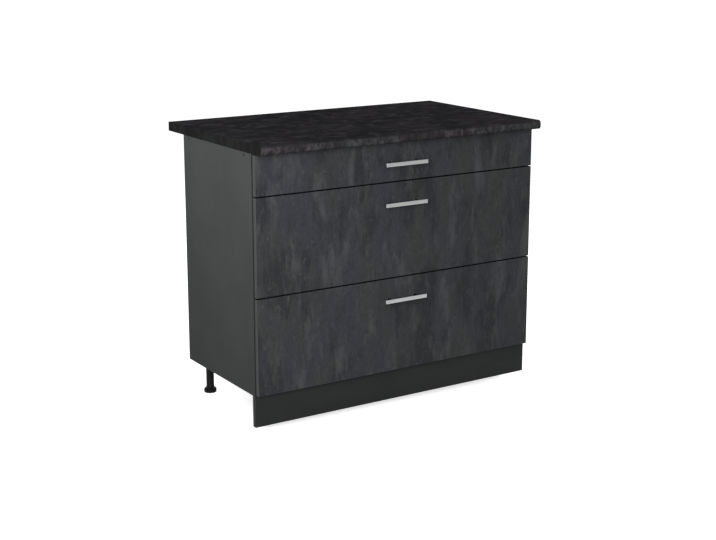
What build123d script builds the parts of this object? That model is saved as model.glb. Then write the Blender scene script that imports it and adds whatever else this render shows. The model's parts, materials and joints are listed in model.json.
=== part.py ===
from build123d import *
import os

os.makedirs("parts", exist_ok=True)

# Kitchen base cabinet with one low drawer and two high pull-outs on roller runners. Millimetres.
# X runs left to right, Y front to back, Z up. The origin is on the floor under the worktop's middle.
# Left-hand pieces are modelled, and the right-hand ones are their mirror images.

# ---- Carcass: two sides, bottom, two rails and a hardboard back in a groove
cabinet_width = 1000.0
carcass_depth = 436.0
carcass_height = 716.0
carcass_board = 16.0
rail_depth = 80.0
back_thickness = 3.0
groove_inset = 15.0
groove_depth = 8.0
groove_clearance = 0.1

# ---- Worktop with a rounded front edge
worktop_depth = 600.0
worktop_thickness = 28.0
worktop_overhang = 58.0
worktop_nosing = 10.0

# ---- Plinth board and its clips
plinth_board = 16.0
plinth_floor_gap = 1.0
clip_plate_width = 44.0
clip_height = 18.0
clip_wall = 3.0
clip_mouth = 19.0
clip_stem_width = 9.0
clip_from_floor = 40.0

# ---- Levelling legs
leg_height = 96.0
front_leg_inset = 55.0
front_leg_setback = 52.0
rear_leg_inset = 36.5
rear_leg_setback = 367.0
socket_plate_width = 52.0
socket_plate_corner = 9.0
socket_plate = 4.0
socket_spigot = 20.0
tube_radius = 12.4
tube_bore_radius = 8.4
spigot_clearance = 0.1
stem_clearance = 0.4
stem_length = 52.0
foot_radius = 20.0
foot_height = 14.0
foot_lobes = 9
foot_notch = 5.0
seat_gap = 0.2

# ---- Drawer fronts
front_board = 16.0
front_side_gap = 2.0
front_top_gap = 2.0
front_bottom_gap = 4.0
front_gap = 3.0
bumper_gap = 2.0
bumper_radius = 4.0
bumper_drop = 15.0
low_front_height = 119.0

# ---- Bar handles
handle_length = 150.0
handle_bar_height = 12.0
handle_bar_depth = 5.0
handle_projection = 30.0
handle_hole_spacing = 96.0
handle_post_radius = 4.0
handle_drop = 63.0
handle_edge = 0.8

# ---- Roller runners: C-shaped tracks on the sides of the carcass
track_rear_gap = 15.8
track_setback = 2.0
track_sheet = 1.2
track_bend = 1.6
track_width = 11.5
track_lip = 3.5
track_height = 25.2
track_top_width = 10.0
low_track_rise = 12.0
high_track_rise = 20.0

# ---- Rollers and their riveted axles
roller_radius = 8.2
roller_width = 7.0
roller_offset = 2.5
axle_radius = 2.5
axle_clearance = 0.05
rolling_gap = 0.3
axle_boss_radius = 4.0
axle_head = 0.8
front_axle_setback = 18.0
rear_axle_inset = 15.0

# ---- Drawer boxes: roll-formed steel sides, chipboard bottom and back
side_rear_gap = 19.8
side_sheet = 1.0
side_bend = 1.5
side_web_offset = 14.5
side_base_rise = 2.0
side_base_width = 15.0
side_hem_width = 11.0
side_hem_drop = 6.0
low_side_height = 86.0
high_side_height = 118.0
drawer_board = 16.0
board_clearance = 0.5
low_back_height = 80.0
high_back_height = 200.0

# ---- Front fixing brackets and gallery rails
bracket_sheet = 2.0
bracket_plate_width = 24.0
bracket_bend = 2.2
bracket_leg_length = 42.0
bracket_height = 46.0
bracket_rise = 24.0
bracket_hole_spacing = 32.0
gallery_drop = 20.0
gallery_offset = 27.0
gallery_rod_radius = 5.0
gallery_socket_radius = 8.0
gallery_socket_depth = 10.0

# ---- Fasteners and small round fittings, drawn with few sides because they are small and many
screw_sides = 6
round_sides = 12
connector_radius = 2.5
connector_head_radius = 5.0
connector_head = 2.5
connector_length = 48.0
cap_radius = 5.6
cap_thickness = 1.2
dowel_radius = 4.0
dowel_length = 30.0
dowel_in_side = 10.0
hole_clearance = 0.1
front_screw_edge = 45.0
rear_screw_edge = 18.0
dowel_edge = 20.0
screw_radius = 2.0
screw_head_radius = 3.6
screw_head = 2.2
flat_screw_head = 1.0
runner_screw_length = 13.0
runner_screw_first = 37.0
runner_screw_pitch = 224.0
worktop_screw_inset = 100.0
worktop_screw_length = 30.0
handle_screw_length = 28.0
bracket_screw_length = 12.0
screw_tip_room = 1.0

# ---- Levels and faces that follow from these sizes
carcass_front = worktop_overhang - worktop_depth / 2
carcass_rear = carcass_front + carcass_depth
carcass_bottom = leg_height
carcass_top = carcass_bottom + carcass_height
outer_face = cabinet_width / 2
inner_face = outer_face - carcass_board
inner_width = 2 * inner_face
groove_rear = carcass_rear - groove_inset
groove_front = groove_rear - back_thickness - 2 * groove_clearance
bottom_panel_middle = carcass_bottom + carcass_board / 2
rail_middle = carcass_top - carcass_board / 2

front_rear_face = carcass_front - bumper_gap
front_face = front_rear_face - front_board
front_width = cabinet_width - 2 * front_side_gap
high_front_height = (
    carcass_height - front_top_gap - front_bottom_gap - low_front_height - 2 * front_gap
) / 2

track_front = carcass_front + track_setback
track_rear = groove_front - track_rear_gap
track_length = track_rear - track_front
front_axle_y = carcass_front + front_axle_setback
side_rear = groove_front - side_rear_gap
side_length = side_rear - front_rear_face
rear_axle_y = side_rear - rear_axle_inset
bore_radius = axle_radius + axle_clearance
web_face = side_web_offset + side_sheet
box_width = inner_width - 2 * (web_face + board_clearance)
riding_axle_rise = track_sheet + rolling_gap + roller_radius
ledge_thickness = 2 * side_sheet
fixed_axle_rise = riding_axle_rise + ledge_thickness
ledge_rise = fixed_axle_rise + roller_radius + rolling_gap
base_top_rise = side_base_rise + side_sheet

drawers = {
    "bottom": {"base": carcass_bottom + front_bottom_gap, "high": True},
    "middle": {"base": carcass_bottom + front_bottom_gap + high_front_height + front_gap, "high": True},
    "top": {"base": carcass_top - front_top_gap - low_front_height, "high": False},
}
for drawer in drawers.values():
    high = drawer["high"]
    drawer["front"] = high_front_height if high else low_front_height
    drawer["track"] = drawer["base"] + (high_track_rise if high else low_track_rise)
    drawer["side"] = high_side_height if high else low_side_height
    drawer["back"] = high_back_height if high else low_back_height
    drawer["handle"] = drawer["base"] + drawer["front"] - handle_drop


def across(x):
    """Plane square to X that looks right: its own axes are Y and Z."""
    return Plane(origin=(x, 0, 0), x_dir=(0, 1, 0), z_dir=(1, 0, 0))


def along(y, z=0):
    """Plane square to Y that looks forward, from the left side's inner face at height z."""
    return Plane(origin=(-inner_face, y, z), x_dir=(1, 0, 0), z_dir=(0, -1, 0))


def backward(y):
    """Plane square to Y that looks back: its own axes are minus X and Z."""
    return Plane(origin=(0, y, 0), x_dir=(-1, 0, 0), z_dir=(0, 1, 0))


def drill(plane, places, radius, depth, way=1):
    """Cut screw holes behind the plane, or in front of it where way is -1."""
    with BuildSketch(plane) as holes:
        with Locations(*places):
            RegularPolygon(radius + hole_clearance, screw_sides)
    extrude(holes.sketch, amount=-way * depth, mode=Mode.SUBTRACT)


def screws(plane, places, head_radius, head, radius, length, way=1):
    """Screws with their heads on the plane and their shanks behind it, or the reverse where way is -1."""
    with BuildSketch(plane) as heads:
        with Locations(*places):
            RegularPolygon(head_radius, screw_sides)
    extrude(heads.sketch, amount=way * head)
    with BuildSketch(plane) as shanks:
        with Locations(*places):
            RegularPolygon(radius, screw_sides)
    extrude(shanks.sketch, amount=-way * length)


def write(piece, name):
    """Label a finished piece and write its file."""
    piece.part.label = name
    export_step(piece.part, f"parts/{name}.step")


def write_pair(piece, name):
    """Write a left-hand piece and its mirror image."""
    write(piece, f"{name}_left")
    with BuildPart() as twin:
        mirror(piece.part, about=Plane.YZ)
    write(twin, f"{name}_right")


# ---- Carcass boards

rear_rail_front = groove_front - rail_depth
connector_places = [
    (y, z)
    for z in (bottom_panel_middle, rail_middle)
    for y in (carcass_front + front_screw_edge, groove_front - rear_screw_edge)
]
dowel_places = [
    (y, z)
    for z in (bottom_panel_middle, rail_middle)
    for y in (carcass_front + dowel_edge, rear_rail_front + dowel_edge)
]
runner_screw_places = [
    (carcass_front + runner_screw_first + step * runner_screw_pitch, drawer["track"] + track_height / 2)
    for drawer in drawers.values()
    for step in (0, 1)
]
rail_middles = [carcass_front + rail_depth / 2, rear_rail_front + rail_depth / 2]
worktop_screw_places = [
    (side * (inner_face - worktop_screw_inset), y) for y in rail_middles for side in (-1, 1)
]


def end_holes():
    """Cut the connector and dowel holes that run from the left side into the ends of the boards."""
    drill(across(-outer_face), connector_places, connector_radius, connector_length + cap_thickness, way=-1)
    drill(across(-inner_face - dowel_in_side), dowel_places, dowel_radius, dowel_length, way=-1)


with BuildPart() as side_panel:
    with BuildSketch(across(-outer_face)):
        with Locations((carcass_front, carcass_bottom)):
            Rectangle(carcass_depth, carcass_height, align=Align.MIN)
    extrude(amount=carcass_board)
    with BuildSketch(across(-inner_face)):
        with Locations((groove_front, carcass_bottom)):
            Rectangle(groove_rear - groove_front, carcass_height, align=Align.MIN)
    extrude(amount=-groove_depth, mode=Mode.SUBTRACT)
    with BuildSketch(across(-outer_face)):
        with Locations(*connector_places):
            RegularPolygon(cap_radius + hole_clearance, round_sides)
    extrude(amount=cap_thickness + connector_head, mode=Mode.SUBTRACT)
    end_holes()
    drill(across(-inner_face), runner_screw_places, screw_radius, runner_screw_length)
write_pair(side_panel, "side_panel")

with BuildPart() as bottom_panel:
    with BuildSketch(Plane.XY.offset(carcass_bottom)):
        with Locations((0, carcass_front)):
            Rectangle(inner_face, carcass_depth, align=(Align.MAX, Align.MIN))
    extrude(amount=carcass_board)
    with BuildSketch(Plane.XY.offset(carcass_bottom + carcass_board)):
        with Locations((0, groove_front)):
            Rectangle(inner_face, groove_rear - groove_front, align=(Align.MAX, Align.MIN))
    extrude(amount=-groove_depth, mode=Mode.SUBTRACT)
    end_holes()
    mirror(about=Plane.YZ)
write(bottom_panel, "bottom_panel")


def rail(front):
    """Flat rail between the sides, drilled for the two screws that hold the worktop."""
    with BuildPart() as board:
        with BuildSketch(Plane.XY.offset(carcass_top)):
            with Locations((0, front)):
                Rectangle(inner_face, rail_depth, align=(Align.MAX, Align.MIN))
        extrude(amount=-carcass_board)
        drill(Plane.XY.offset(carcass_top), worktop_screw_places, screw_radius, carcass_board)
        end_holes()
        mirror(about=Plane.YZ)
    return board


write(rail(carcass_front), "front_rail")
write(rail(rear_rail_front), "rear_rail")

with BuildPart() as back_panel:
    back_bottom = carcass_bottom + carcass_board - groove_depth + seat_gap
    with BuildSketch(Plane.XY.offset(back_bottom)):
        with Locations((0, (groove_front + groove_rear) / 2)):
            Rectangle(inner_width + 2 * (groove_depth - seat_gap), back_thickness)
    extrude(amount=carcass_top - back_bottom)
write(back_panel, "back_panel")

# ---- Worktop

with BuildPart() as worktop:
    with BuildSketch(across(-outer_face)) as profile:
        with Locations((0, carcass_top)):
            Rectangle(worktop_depth, worktop_thickness, align=(Align.CENTER, Align.MIN))
        fillet(profile.vertices().group_by(Axis.Y)[0], radius=worktop_nosing)
    extrude(amount=cabinet_width)
    drill(
        Plane.XY.offset(carcass_top),
        worktop_screw_places,
        screw_radius,
        worktop_screw_length - carcass_board + screw_tip_room,
        way=-1,
    )
write(worktop, "worktop")

# ---- Connector screws, caps, dowels and worktop screws

with BuildPart() as carcass_screws:
    screws(
        across(-outer_face + cap_thickness + connector_head),
        connector_places,
        connector_head_radius,
        connector_head,
        connector_radius,
        connector_length - connector_head,
        way=-1,
    )
    mirror(about=Plane.YZ)
write(carcass_screws, "carcass_screws")

with BuildPart() as screw_cover_caps:
    with BuildSketch(across(-outer_face)):
        with Locations(*connector_places):
            RegularPolygon(cap_radius, round_sides)
    extrude(amount=cap_thickness)
    mirror(about=Plane.YZ)
write(screw_cover_caps, "screw_cover_caps")

with BuildPart() as wood_dowels:
    with BuildSketch(across(-inner_face - dowel_in_side)):
        with Locations(*dowel_places):
            RegularPolygon(dowel_radius, screw_sides)
    extrude(amount=dowel_length)
    mirror(about=Plane.YZ)
write(wood_dowels, "wood_dowels")

with BuildPart() as worktop_screws:
    screws(
        Plane.XY.offset(carcass_top - carcass_board),
        worktop_screw_places,
        screw_head_radius,
        screw_head,
        screw_radius,
        worktop_screw_length,
        way=-1,
    )
write(worktop_screws, "worktop_screws")

# ---- Levelling legs: socket under the carcass, tube, and a foot that screws out of it

leg_places = {
    "front": (outer_face - front_leg_inset, carcass_front + front_leg_setback),
    "rear": (outer_face - rear_leg_inset, carcass_front + rear_leg_setback),
}
leg_centres = [(side * x, y) for x, y in leg_places.values() for side in (-1, 1)]
tube_top = carcass_bottom - socket_plate
tube_bottom = foot_height + seat_gap

with BuildPart() as leg_sockets:
    with BuildSketch(Plane.XY.offset(carcass_bottom)) as plates:
        with Locations(*leg_centres):
            Rectangle(socket_plate_width, socket_plate_width)
        chamfer(plates.vertices(), length=socket_plate_corner)
    extrude(amount=-socket_plate)
    with BuildSketch(Plane.XY.offset(tube_top)):
        with Locations(*leg_centres):
            RegularPolygon(tube_bore_radius - spigot_clearance, round_sides)
    extrude(amount=-socket_spigot)
write(leg_sockets, "leg_sockets")

with BuildPart() as leg_tubes:
    with BuildSketch(Plane.XY.offset(tube_bottom)):
        with Locations(*leg_centres):
            Circle(tube_radius)
            RegularPolygon(tube_bore_radius, round_sides, mode=Mode.SUBTRACT)
    extrude(amount=tube_top - tube_bottom)
write(leg_tubes, "leg_tubes")

for place, (x, y) in leg_places.items():
    for side, side_name in ((-1, "left"), (1, "right")):
        with BuildPart() as foot:
            with BuildSketch():
                with Locations((side * x, y)):
                    RegularPolygon(foot_radius, 2 * foot_lobes)
                    with PolarLocations(foot_radius, foot_lobes):
                        Rectangle(foot_notch, foot_notch, rotation=45, mode=Mode.SUBTRACT)
            extrude(amount=foot_height)
            with BuildSketch(Plane.XY.offset(foot_height)):
                with Locations((side * x, y)):
                    RegularPolygon(tube_bore_radius - stem_clearance, round_sides)
            extrude(amount=stem_length)
        write(foot, f"foot_{place}_{side_name}")

# ---- Plinth board and the clips that hold it to the front legs

plinth_rear = carcass_front + plinth_board

with BuildPart() as plinth:
    with BuildSketch(Plane.XY.offset(plinth_floor_gap)):
        with Locations((0, carcass_front)):
            Rectangle(cabinet_width, plinth_board, align=(Align.CENTER, Align.MIN))
    extrude(amount=carcass_bottom - plinth_floor_gap)
write(plinth, "plinth")

with BuildPart() as plinth_clips:
    clip_x, clip_y = leg_places["front"]
    jaw_radius = tube_radius + hole_clearance
    with BuildSketch(Plane.XY.offset(clip_from_floor)):
        with Locations((-clip_x, plinth_rear)):
            Rectangle(clip_plate_width, clip_wall, align=(Align.CENTER, Align.MIN))
            Rectangle(clip_stem_width, clip_y - plinth_rear, align=(Align.CENTER, Align.MIN))
        with Locations((-clip_x, clip_y)):
            Circle(jaw_radius + clip_wall)
            Circle(jaw_radius, mode=Mode.SUBTRACT)
            Rectangle(
                clip_mouth,
                jaw_radius + clip_wall,
                align=(Align.CENTER, Align.MIN),
                mode=Mode.SUBTRACT,
            )
    extrude(amount=clip_height)
    mirror(about=Plane.YZ)
write(plinth_clips, "plinth_clips")

# ---- Bumper pads on the front edges of the sides

with BuildPart() as bumper_pads:
    with BuildSketch(backward(carcass_front)):
        for drawer in drawers.values():
            with Locations((0, drawer["base"] + drawer["front"] - bumper_drop)):
                with GridLocations(2 * outer_face - carcass_board, 1, 2, 1):
                    RegularPolygon(bumper_radius, round_sides)
    extrude(amount=seat_gap - bumper_gap)
write(bumper_pads, "bumper_pads")


# ---- Runners


def runner(track):
    """Left C-shaped track with its screw holes and the axle riveted in for the fixed front roller."""
    with BuildPart() as steel:
        with BuildSketch(along(track_rear, track)):
            with BuildLine():
                FilletPolyline(
                    (track_width, track_lip),
                    (track_width, 0),
                    (0, 0),
                    (0, track_height),
                    (track_top_width, track_height),
                    radius=track_bend,
                )
                offset(amount=track_sheet, side=Side.RIGHT)
            make_face()
        extrude(amount=track_length)
        drill(across(-inner_face + track_sheet), runner_screw_places, screw_radius, track_sheet)
        axle_place = (front_axle_y, track + fixed_axle_rise)
        axle_end = roller_offset + roller_width + rolling_gap
        with BuildSketch(across(-inner_face)):
            with Locations(axle_place):
                RegularPolygon(axle_boss_radius, screw_sides)
        extrude(amount=roller_offset - rolling_gap)
        with BuildSketch(across(-inner_face)):
            with Locations(axle_place):
                RegularPolygon(axle_radius, round_sides)
        extrude(amount=axle_end)
        with BuildSketch(across(-inner_face + axle_end)):
            with Locations(axle_place):
                RegularPolygon(axle_boss_radius, screw_sides)
        extrude(amount=axle_head)
    return steel


def rollers(y, z):
    """Left and right nylon rollers that turn on one line."""
    with BuildPart() as wheels:
        with BuildSketch(across(-inner_face + roller_offset)):
            with Locations((y, z)):
                Circle(roller_radius)
                RegularPolygon(bore_radius, round_sides, major_radius=False, mode=Mode.SUBTRACT)
        extrude(amount=roller_width)
        mirror(about=Plane.YZ)
    return wheels


for name, drawer in drawers.items():
    write_pair(runner(drawer["track"]), f"runner_{name}")
    write(rollers(front_axle_y, drawer["track"] + fixed_axle_rise), f"runner_rollers_{name}")
    write(rollers(rear_axle_y, drawer["track"] + riding_axle_rise), f"drawer_rollers_{name}")

with BuildPart() as runner_screws:
    screws(
        across(-inner_face + track_sheet),
        runner_screw_places,
        screw_head_radius,
        flat_screw_head,
        screw_radius,
        runner_screw_length,
    )
    mirror(about=Plane.YZ)
write(runner_screws, "runner_screws")


# ---- Drawers


def front_panel(base, height, handle_places, bracket_places):
    """Drawer front with through holes for the handle and blind holes for its brackets."""
    with BuildPart() as board:
        with BuildSketch(backward(front_face)):
            with Locations((0, base + height / 2)):
                Rectangle(front_width, height)
        extrude(amount=front_board)
        drill(backward(front_rear_face), handle_places, screw_radius, front_board)
        drill(backward(front_rear_face), bracket_places, screw_radius, bracket_screw_length)
    return board


def handle(z, handle_places):
    """Flat bar on two round posts, which are bored for the screws."""
    with BuildPart() as bar:
        bar_face = front_face - handle_projection
        with BuildSketch(backward(bar_face)):
            with Locations((0, z)):
                Rectangle(handle_length, handle_bar_height)
        extrude(amount=handle_bar_depth)
        chamfer(bar.faces().sort_by(Axis.Y)[0].edges(), length=handle_edge)
        with BuildSketch(backward(bar_face + handle_bar_depth)):
            with Locations(*handle_places):
                Circle(handle_post_radius)
        extrude(amount=handle_projection - handle_bar_depth)
        drill(backward(front_face), handle_places, screw_radius, handle_screw_length - front_board + screw_tip_room)
    return bar


def drawer_side(track, height):
    """Left roll-formed side: base flange, web and top hem, with a folded ledge over the rollers."""
    hem_rise = height - side_sheet
    hem_reach = side_web_offset + side_sheet - side_hem_width
    axle_place = (rear_axle_y, track + riding_axle_rise)
    boss_start = roller_offset + roller_width + rolling_gap
    with BuildPart() as steel:
        with BuildSketch(along(side_rear, track)):
            with BuildLine():
                FilletPolyline(
                    (side_web_offset + side_base_width, side_base_rise),
                    (side_web_offset, side_base_rise),
                    (side_web_offset, hem_rise),
                    (hem_reach, hem_rise),
                    (hem_reach, hem_rise - side_hem_drop),
                    radius=side_bend,
                )
                offset(amount=side_sheet, side=Side.RIGHT)
            make_face()
            with Locations((roller_offset, ledge_rise)):
                Rectangle(web_face - side_sheet / 2 - roller_offset, ledge_thickness, align=Align.MIN)
        extrude(amount=side_length)
        with BuildSketch(across(-inner_face + roller_offset)):
            with Locations(axle_place):
                RegularPolygon(axle_radius, round_sides)
        extrude(amount=side_web_offset - roller_offset)
        with BuildSketch(across(-inner_face + boss_start)):
            with Locations(axle_place):
                RegularPolygon(axle_boss_radius, screw_sides)
        extrude(amount=side_web_offset - boss_start)
    return steel


def drawer_bottom(track):
    """Chipboard bottom that lies on the base flanges of the sides."""
    with BuildPart() as board:
        with BuildSketch(Plane.XY.offset(track + base_top_rise)):
            with Locations((0, front_rear_face + bracket_sheet)):
                Rectangle(box_width, side_length - bracket_sheet, align=(Align.CENTER, Align.MIN))
        extrude(amount=drawer_board)
    return board


def drawer_back(track, height):
    """Chipboard back that stands on the bottom, between the sides."""
    with BuildPart() as board:
        with BuildSketch(Plane.XY.offset(track + base_top_rise + drawer_board)):
            with Locations((0, side_rear - drawer_board)):
                Rectangle(box_width, drawer_board, align=(Align.CENTER, Align.MIN))
        extrude(amount=height - base_top_rise - drawer_board)
    return board


def front_brackets(track, bracket_places):
    """Left and right angle brackets that join the steel sides to the front."""
    with BuildPart() as brackets:
        with BuildSketch(Plane.XY.offset(track + bracket_rise)):
            with BuildLine():
                FilletPolyline(
                    (-inner_face + web_face + bracket_plate_width, front_rear_face),
                    (-inner_face + web_face, front_rear_face),
                    (-inner_face + web_face, front_rear_face + bracket_leg_length),
                    radius=bracket_bend,
                )
                offset(amount=bracket_sheet, side=Side.RIGHT)
            make_face()
        extrude(amount=bracket_height)
        drill(backward(front_rear_face + bracket_sheet), bracket_places, screw_radius, bracket_sheet)
        mirror(about=Plane.YZ)
    return brackets


def drawer_screws(handle_places, bracket_places):
    """Handle screws and bracket screws, all driven from inside the drawer."""
    pan_head = (screw_head_radius, screw_head, screw_radius)
    with BuildPart() as fasteners:
        screws(backward(front_rear_face), handle_places, *pan_head, handle_screw_length)
        screws(backward(front_rear_face + bracket_sheet), bracket_places, *pan_head, bracket_screw_length)
    return fasteners


def gallery_rails(track):
    """Left and right rods from the front to the back board, each with a socket at both ends."""
    back_face = side_rear - drawer_board
    rod_height = track + high_back_height - gallery_drop
    with BuildPart() as rails:
        with BuildSketch(along(back_face, rod_height)):
            with Locations((gallery_offset, 0)):
                RegularPolygon(gallery_rod_radius, round_sides)
        extrude(amount=back_face - front_rear_face)
        for y, way in ((back_face, 1), (front_rear_face, -1)):
            with BuildSketch(along(y, rod_height)):
                with Locations((gallery_offset, 0)):
                    RegularPolygon(gallery_socket_radius, round_sides)
            extrude(amount=way * gallery_socket_depth)
        mirror(about=Plane.YZ)
    return rails


bracket_screw_x = inner_face - web_face - bracket_sheet - (bracket_plate_width - bracket_sheet) / 2

for name, drawer in drawers.items():
    track = drawer["track"]
    bracket_middle = track + bracket_rise + bracket_height / 2
    handle_places = [(side * handle_hole_spacing / 2, drawer["handle"]) for side in (-1, 1)]
    bracket_places = [
        (side * bracket_screw_x, bracket_middle + step * bracket_hole_spacing / 2)
        for side in (-1, 1)
        for step in (-1, 1)
    ]
    panel = front_panel(drawer["base"], drawer["front"], handle_places, bracket_places)
    write(panel, f"{name}_drawer_front")
    write(handle(drawer["handle"], handle_places), f"{name}_drawer_handle")
    write_pair(drawer_side(track, drawer["side"]), f"{name}_drawer_side")
    write(drawer_bottom(track), f"{name}_drawer_bottom")
    write(drawer_back(track, drawer["back"]), f"{name}_drawer_back")
    write(front_brackets(track, bracket_places), f"{name}_drawer_brackets")
    write(drawer_screws(handle_places, bracket_places), f"{name}_drawer_screws")
    if drawer["high"]:
        write(gallery_rails(track), f"{name}_gallery_rails")
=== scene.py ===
import json
import math

import bmesh
import bpy
from mathutils import Matrix, Vector


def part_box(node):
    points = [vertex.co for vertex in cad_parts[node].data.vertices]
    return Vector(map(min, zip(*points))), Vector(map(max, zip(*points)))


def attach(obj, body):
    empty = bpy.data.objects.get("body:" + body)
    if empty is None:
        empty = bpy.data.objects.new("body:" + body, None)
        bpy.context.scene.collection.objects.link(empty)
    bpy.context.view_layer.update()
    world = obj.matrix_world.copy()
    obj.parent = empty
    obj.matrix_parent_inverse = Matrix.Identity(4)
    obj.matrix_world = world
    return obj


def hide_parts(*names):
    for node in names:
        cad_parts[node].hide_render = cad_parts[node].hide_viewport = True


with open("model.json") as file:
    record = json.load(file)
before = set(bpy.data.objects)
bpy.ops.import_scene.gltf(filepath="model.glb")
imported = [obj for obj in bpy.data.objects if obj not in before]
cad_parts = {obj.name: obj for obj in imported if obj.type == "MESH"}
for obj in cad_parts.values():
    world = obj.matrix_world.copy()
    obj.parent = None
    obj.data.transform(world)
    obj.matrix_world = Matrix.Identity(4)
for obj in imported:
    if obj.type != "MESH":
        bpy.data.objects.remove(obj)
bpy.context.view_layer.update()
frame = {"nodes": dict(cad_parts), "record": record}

# The base cabinet dressed in metres: X runs left to right, Y front to back, Z up from the floor.
nodes = frame["nodes"]
record = frame["record"]
body_of = {node: body for body, held in record["behaviour"]["bodies"].items() for node in held}
slot_of = {part["node"]: part["material_slot"] for part in record["subparts"]}
scene = bpy.context.scene
scene.view_settings.view_transform = "Standard"
MM = 0.001
X, Y, Z = range(3)
drawers = ("top", "middle", "bottom")
high_drawers = ("middle", "bottom")
legs = ("front_left", "front_right", "rear_left", "rear_right")

# ---- Camera, light and floor
camera_place = (-2.300, -3.609, 1.431)
camera_yaw = math.radians(32.62)
camera_pitch = math.radians(12.57)
camera_shift = -0.05
camera_lens = 69.18
sensor_width = 36.0

world_strength = 0.40
lamps = {
    "key": {"place": (-1.5, -2.0, 1.2), "size": 1.4, "power": 39.0},
    "side": {"place": (-1.3, 0.0, 1.05), "size": 0.6, "power": 4.9},
    "fill": {"place": (2.0, 0.1, 1.3), "size": 0.8, "power": 13.0},
    "rear": {"place": (1.9, 2.6, 2.0), "size": 1.6, "power": 40.0},
}
lamp_target = (0, 0, 0.5)
floor_size = 60.0
floor_bounce = 0.30
floor_lift = 0.68

# ---- Edges and round forms
crease_angle = math.radians(35)
flat_angle = math.radians(0.5)
smallest_join = 0.001 * MM
board_edge = 0.7 * MM
front_edge = 0.9 * MM
round_sides = 32
small_sides = 24
shank_sides = 12

# ---- How far the finish of a board's face reaches into it
raw_skin = 0.2 * MM
laminate_skin = 0.1 * MM
front_skin = 0.02 * MM

# ---- Worktop
nosing_radius = 10 * MM
nosing_steps = 10
end_edge = 0.5 * MM
backing_setback = 40 * MM

# ---- Bar handles
bar_edge = 1.1 * MM
bar_depth = 5 * MM
bar_skin = 0.3 * MM
post_radius = 4 * MM
post_spacing = 96 * MM
post_fillet = 1.6 * MM
post_fillet_steps = 4
post_neck = 0.6 * MM
flange_radius = 5.2 * MM
flange_height = 1.2 * MM
flange_edge = 0.5 * MM

# ---- Screws: the dome of a head is in shares of its radius and height, from the rim to the recess
screw_head_radius = 3.6 * MM
screw_head = 2.2 * MM
screw_shank = 2.0 * MM
screw_dome = ((0.55, 0.0), (0.97, 0.0), (1.0, 0.12), (0.98, 0.45), (0.86, 0.78), (0.62, 1.0))
recess_reach = 0.5
recess_half_width = 0.11
recess_taper = 0.8
recess_floor = 0.35
shank_gap = 0.01 * MM
runner_screw_head = 1.0 * MM
plate_screw_head = 2.0 * MM
plate_screw_shank = 1.9 * MM
plate_screw_length = 3.5 * MM
plate_screw_offset = 17.5 * MM

# ---- Cover caps: shares of radius and rise in the dome, and of radius and thickness in the dimple
cap_rise = 0.3 * MM
cap_dome = ((0.93, 0.6), (0.6, 1))
cap_dimple_radius = 1.6 * MM
cap_dimple = ((0.8, 0.4), (0, 0.3))

# ---- Bumper pads: shares of radius and thickness in the dome
bumper_dome = ((1, 0), (1, 0.3), (0.85, 0.7), (0.5, 0.95), (0, 1))

# ---- Rollers: hub curve out from the bore and rim curve in from the tread, both in mm with depths
roller_bore = 0.32
hub_curve = ((0, 0), (1.0, 0), (1.3, 1.2))
rim_curve = ((2.4, 1.2), (2.1, 0), (0.7, 0), (0.2, 0.25), (0, 0.8))

# ---- Rivet heads on the rollers' axles: shares of the radius, with heights in mm
axle_head_radius = 4.3 * MM
axle_head_curve = ((1, 0), (1, 0.5), (0.85, 1.0), (0.5, 1.33), (0, 1.4))
axle_head_room = 0.2 * MM

# ---- Gallery rods in their sockets: the shoulder is in mm in from the socket's wall and mouth
rod_radius = 5 * MM
rod_fillet = 0.2 * MM
socket_length = 10 * MM
socket_edge = 0.5 * MM
socket_shoulder = ((0, 2), (0.6, 0.6), (2, 0))

# ---- Levelling legs: sockets
plate_half = 26 * MM
plate_corner = 9 * MM
plate_thickness = 4 * MM
plate_edge = 0.6 * MM
collar_radius = 15.6 * MM
collar_height = 11 * MM
collar_room = 0.1 * MM
collar_flare = 1.5 * MM
collar_edge = 0.6 * MM
rib_thickness = 2.4 * MM
rib_height = 7 * MM
rib_tip_height = 1 * MM
rib_sink = 0.5 * MM
rib_inset = 2 * MM
rib_edge = 0.3 * MM

# ---- Levelling legs: tubes
tube_bore = 0.68
tube_lip = 0.8 * MM
lip_height = 4 * MM
lip_slope = 1.2 * MM
lip_edge = 0.5 * MM

# ---- Levelling legs: feet, with the curve of their side in mm in from the radius and up
foot_curve = ((1.4, 0.0), (0.5, 0.4), (0.0, 1.4), (0.0, 10.5), (0.5, 12.2), (2.0, 13.4), (4.4, 14.0))
foot_lobes = 9
scallop_radius = 3.2 * MM
scallop_steps = 4
lobe_steps = 5
stem_radius = 8 * MM
stem_sink = 0.5 * MM
thread_pitch = 3 * MM
thread_depth = 0.7 * MM


# ---------------------------------------------------------------- camera, light and floor


def link(thing):
    scene.collection.objects.link(thing)
    return thing


def make_camera():
    """The photograph's viewpoint: left of the cabinet's front corner and a little above the worktop."""
    data = bpy.data.cameras.new("camera")
    data.lens = camera_lens
    data.sensor_width = sensor_width
    data.shift_y = camera_shift
    camera = link(bpy.data.objects.new("camera", data))
    camera.location = camera_place
    camera.rotation_euler = (math.pi / 2 - camera_pitch, 0, -camera_yaw)
    scene.camera = camera


def direct_look(tree):
    """1 for rays from the camera, a mirror or glass, and 0 for rays that only light something."""
    path = tree.nodes.new("ShaderNodeLightPath")
    found = path.outputs["Is Camera Ray"]
    for other in ("Is Glossy Ray", "Is Transmission Ray"):
        either = tree.nodes.new("ShaderNodeMath")
        either.operation = "MAXIMUM"
        tree.links.new(found, either.inputs[0])
        tree.links.new(path.outputs[other], either.inputs[1])
        found = either.outputs[0]
    return found


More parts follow.
